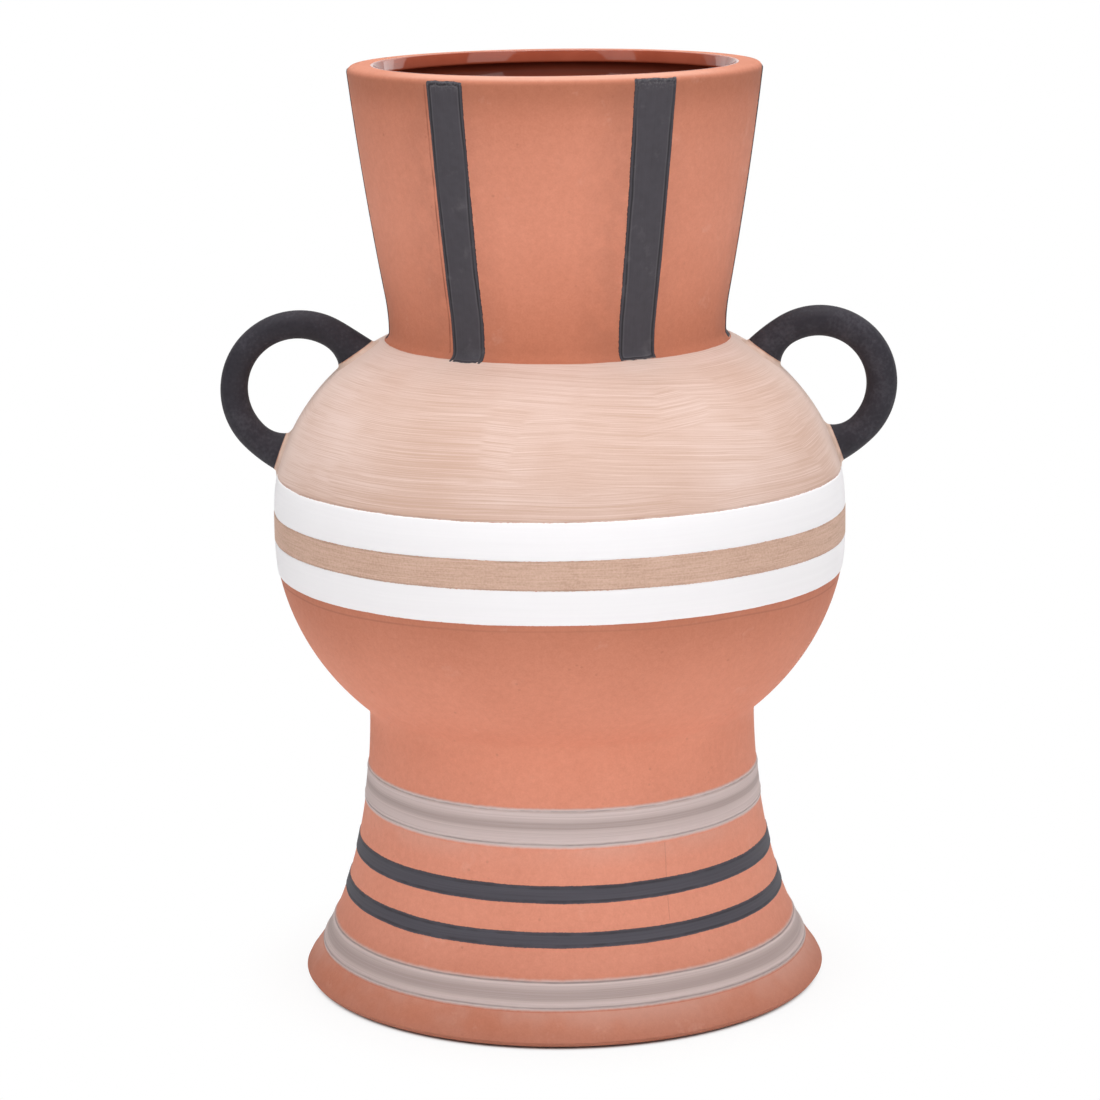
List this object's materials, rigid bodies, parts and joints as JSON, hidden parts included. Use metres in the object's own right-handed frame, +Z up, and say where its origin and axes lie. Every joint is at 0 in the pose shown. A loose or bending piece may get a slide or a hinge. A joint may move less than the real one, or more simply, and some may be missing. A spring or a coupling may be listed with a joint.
{
  "type": "two-handled vase",
  "caption": "Earthenware vase with a flared foot, round belly, inverted-cone neck and a pair of small ring handles, painted in bands and upright stripes, glazed inside.",
  "frame": {"origin": "centre of the foot, on the surface that the vase stands on", "axes": "+Z up along the axis of the vase, +X towards the right handle seen from the front, front faces -Y"},
  "size_m": [0.2226, 0.1908, 0.305],
  "materials": {
    "clay": "bare matte terracotta",
    "glaze": "glossy brown-red glaze",
    "beige_slip": "matte slip with brush marks",
    "white_slip": "matte slip",
    "tan_slip": "matte slip with brush marks",
    "taupe_slip": "semi-opaque brushed slip",
    "black_slip": "matte black slip"
  },
  "bodies": {
    "root": {"vase_body": "clay", "glaze_lining": "glaze", "handle_left": "black_slip", "handle_right": "black_slip", "lute_left_upper": "beige_slip", "lute_left_lower": "beige_slip", "lute_right_upper": "beige_slip", "lute_right_lower": "beige_slip", "shoulder_coat": "beige_slip", "white_band_upper": "white_slip", "tan_band": "tan_slip", "white_band_lower": "white_slip", "taupe_band_upper": "taupe_slip", "taupe_band_lower": "taupe_slip", "black_band_upper": "black_slip", "black_band_lower": "black_slip", "neck_stripe_1": "black_slip", "neck_stripe_2": "black_slip", "neck_stripe_3": "black_slip", "neck_stripe_4": "black_slip", "neck_stripe_5": "black_slip", "neck_stripe_6": "black_slip"}
  },
  "joints": []
}
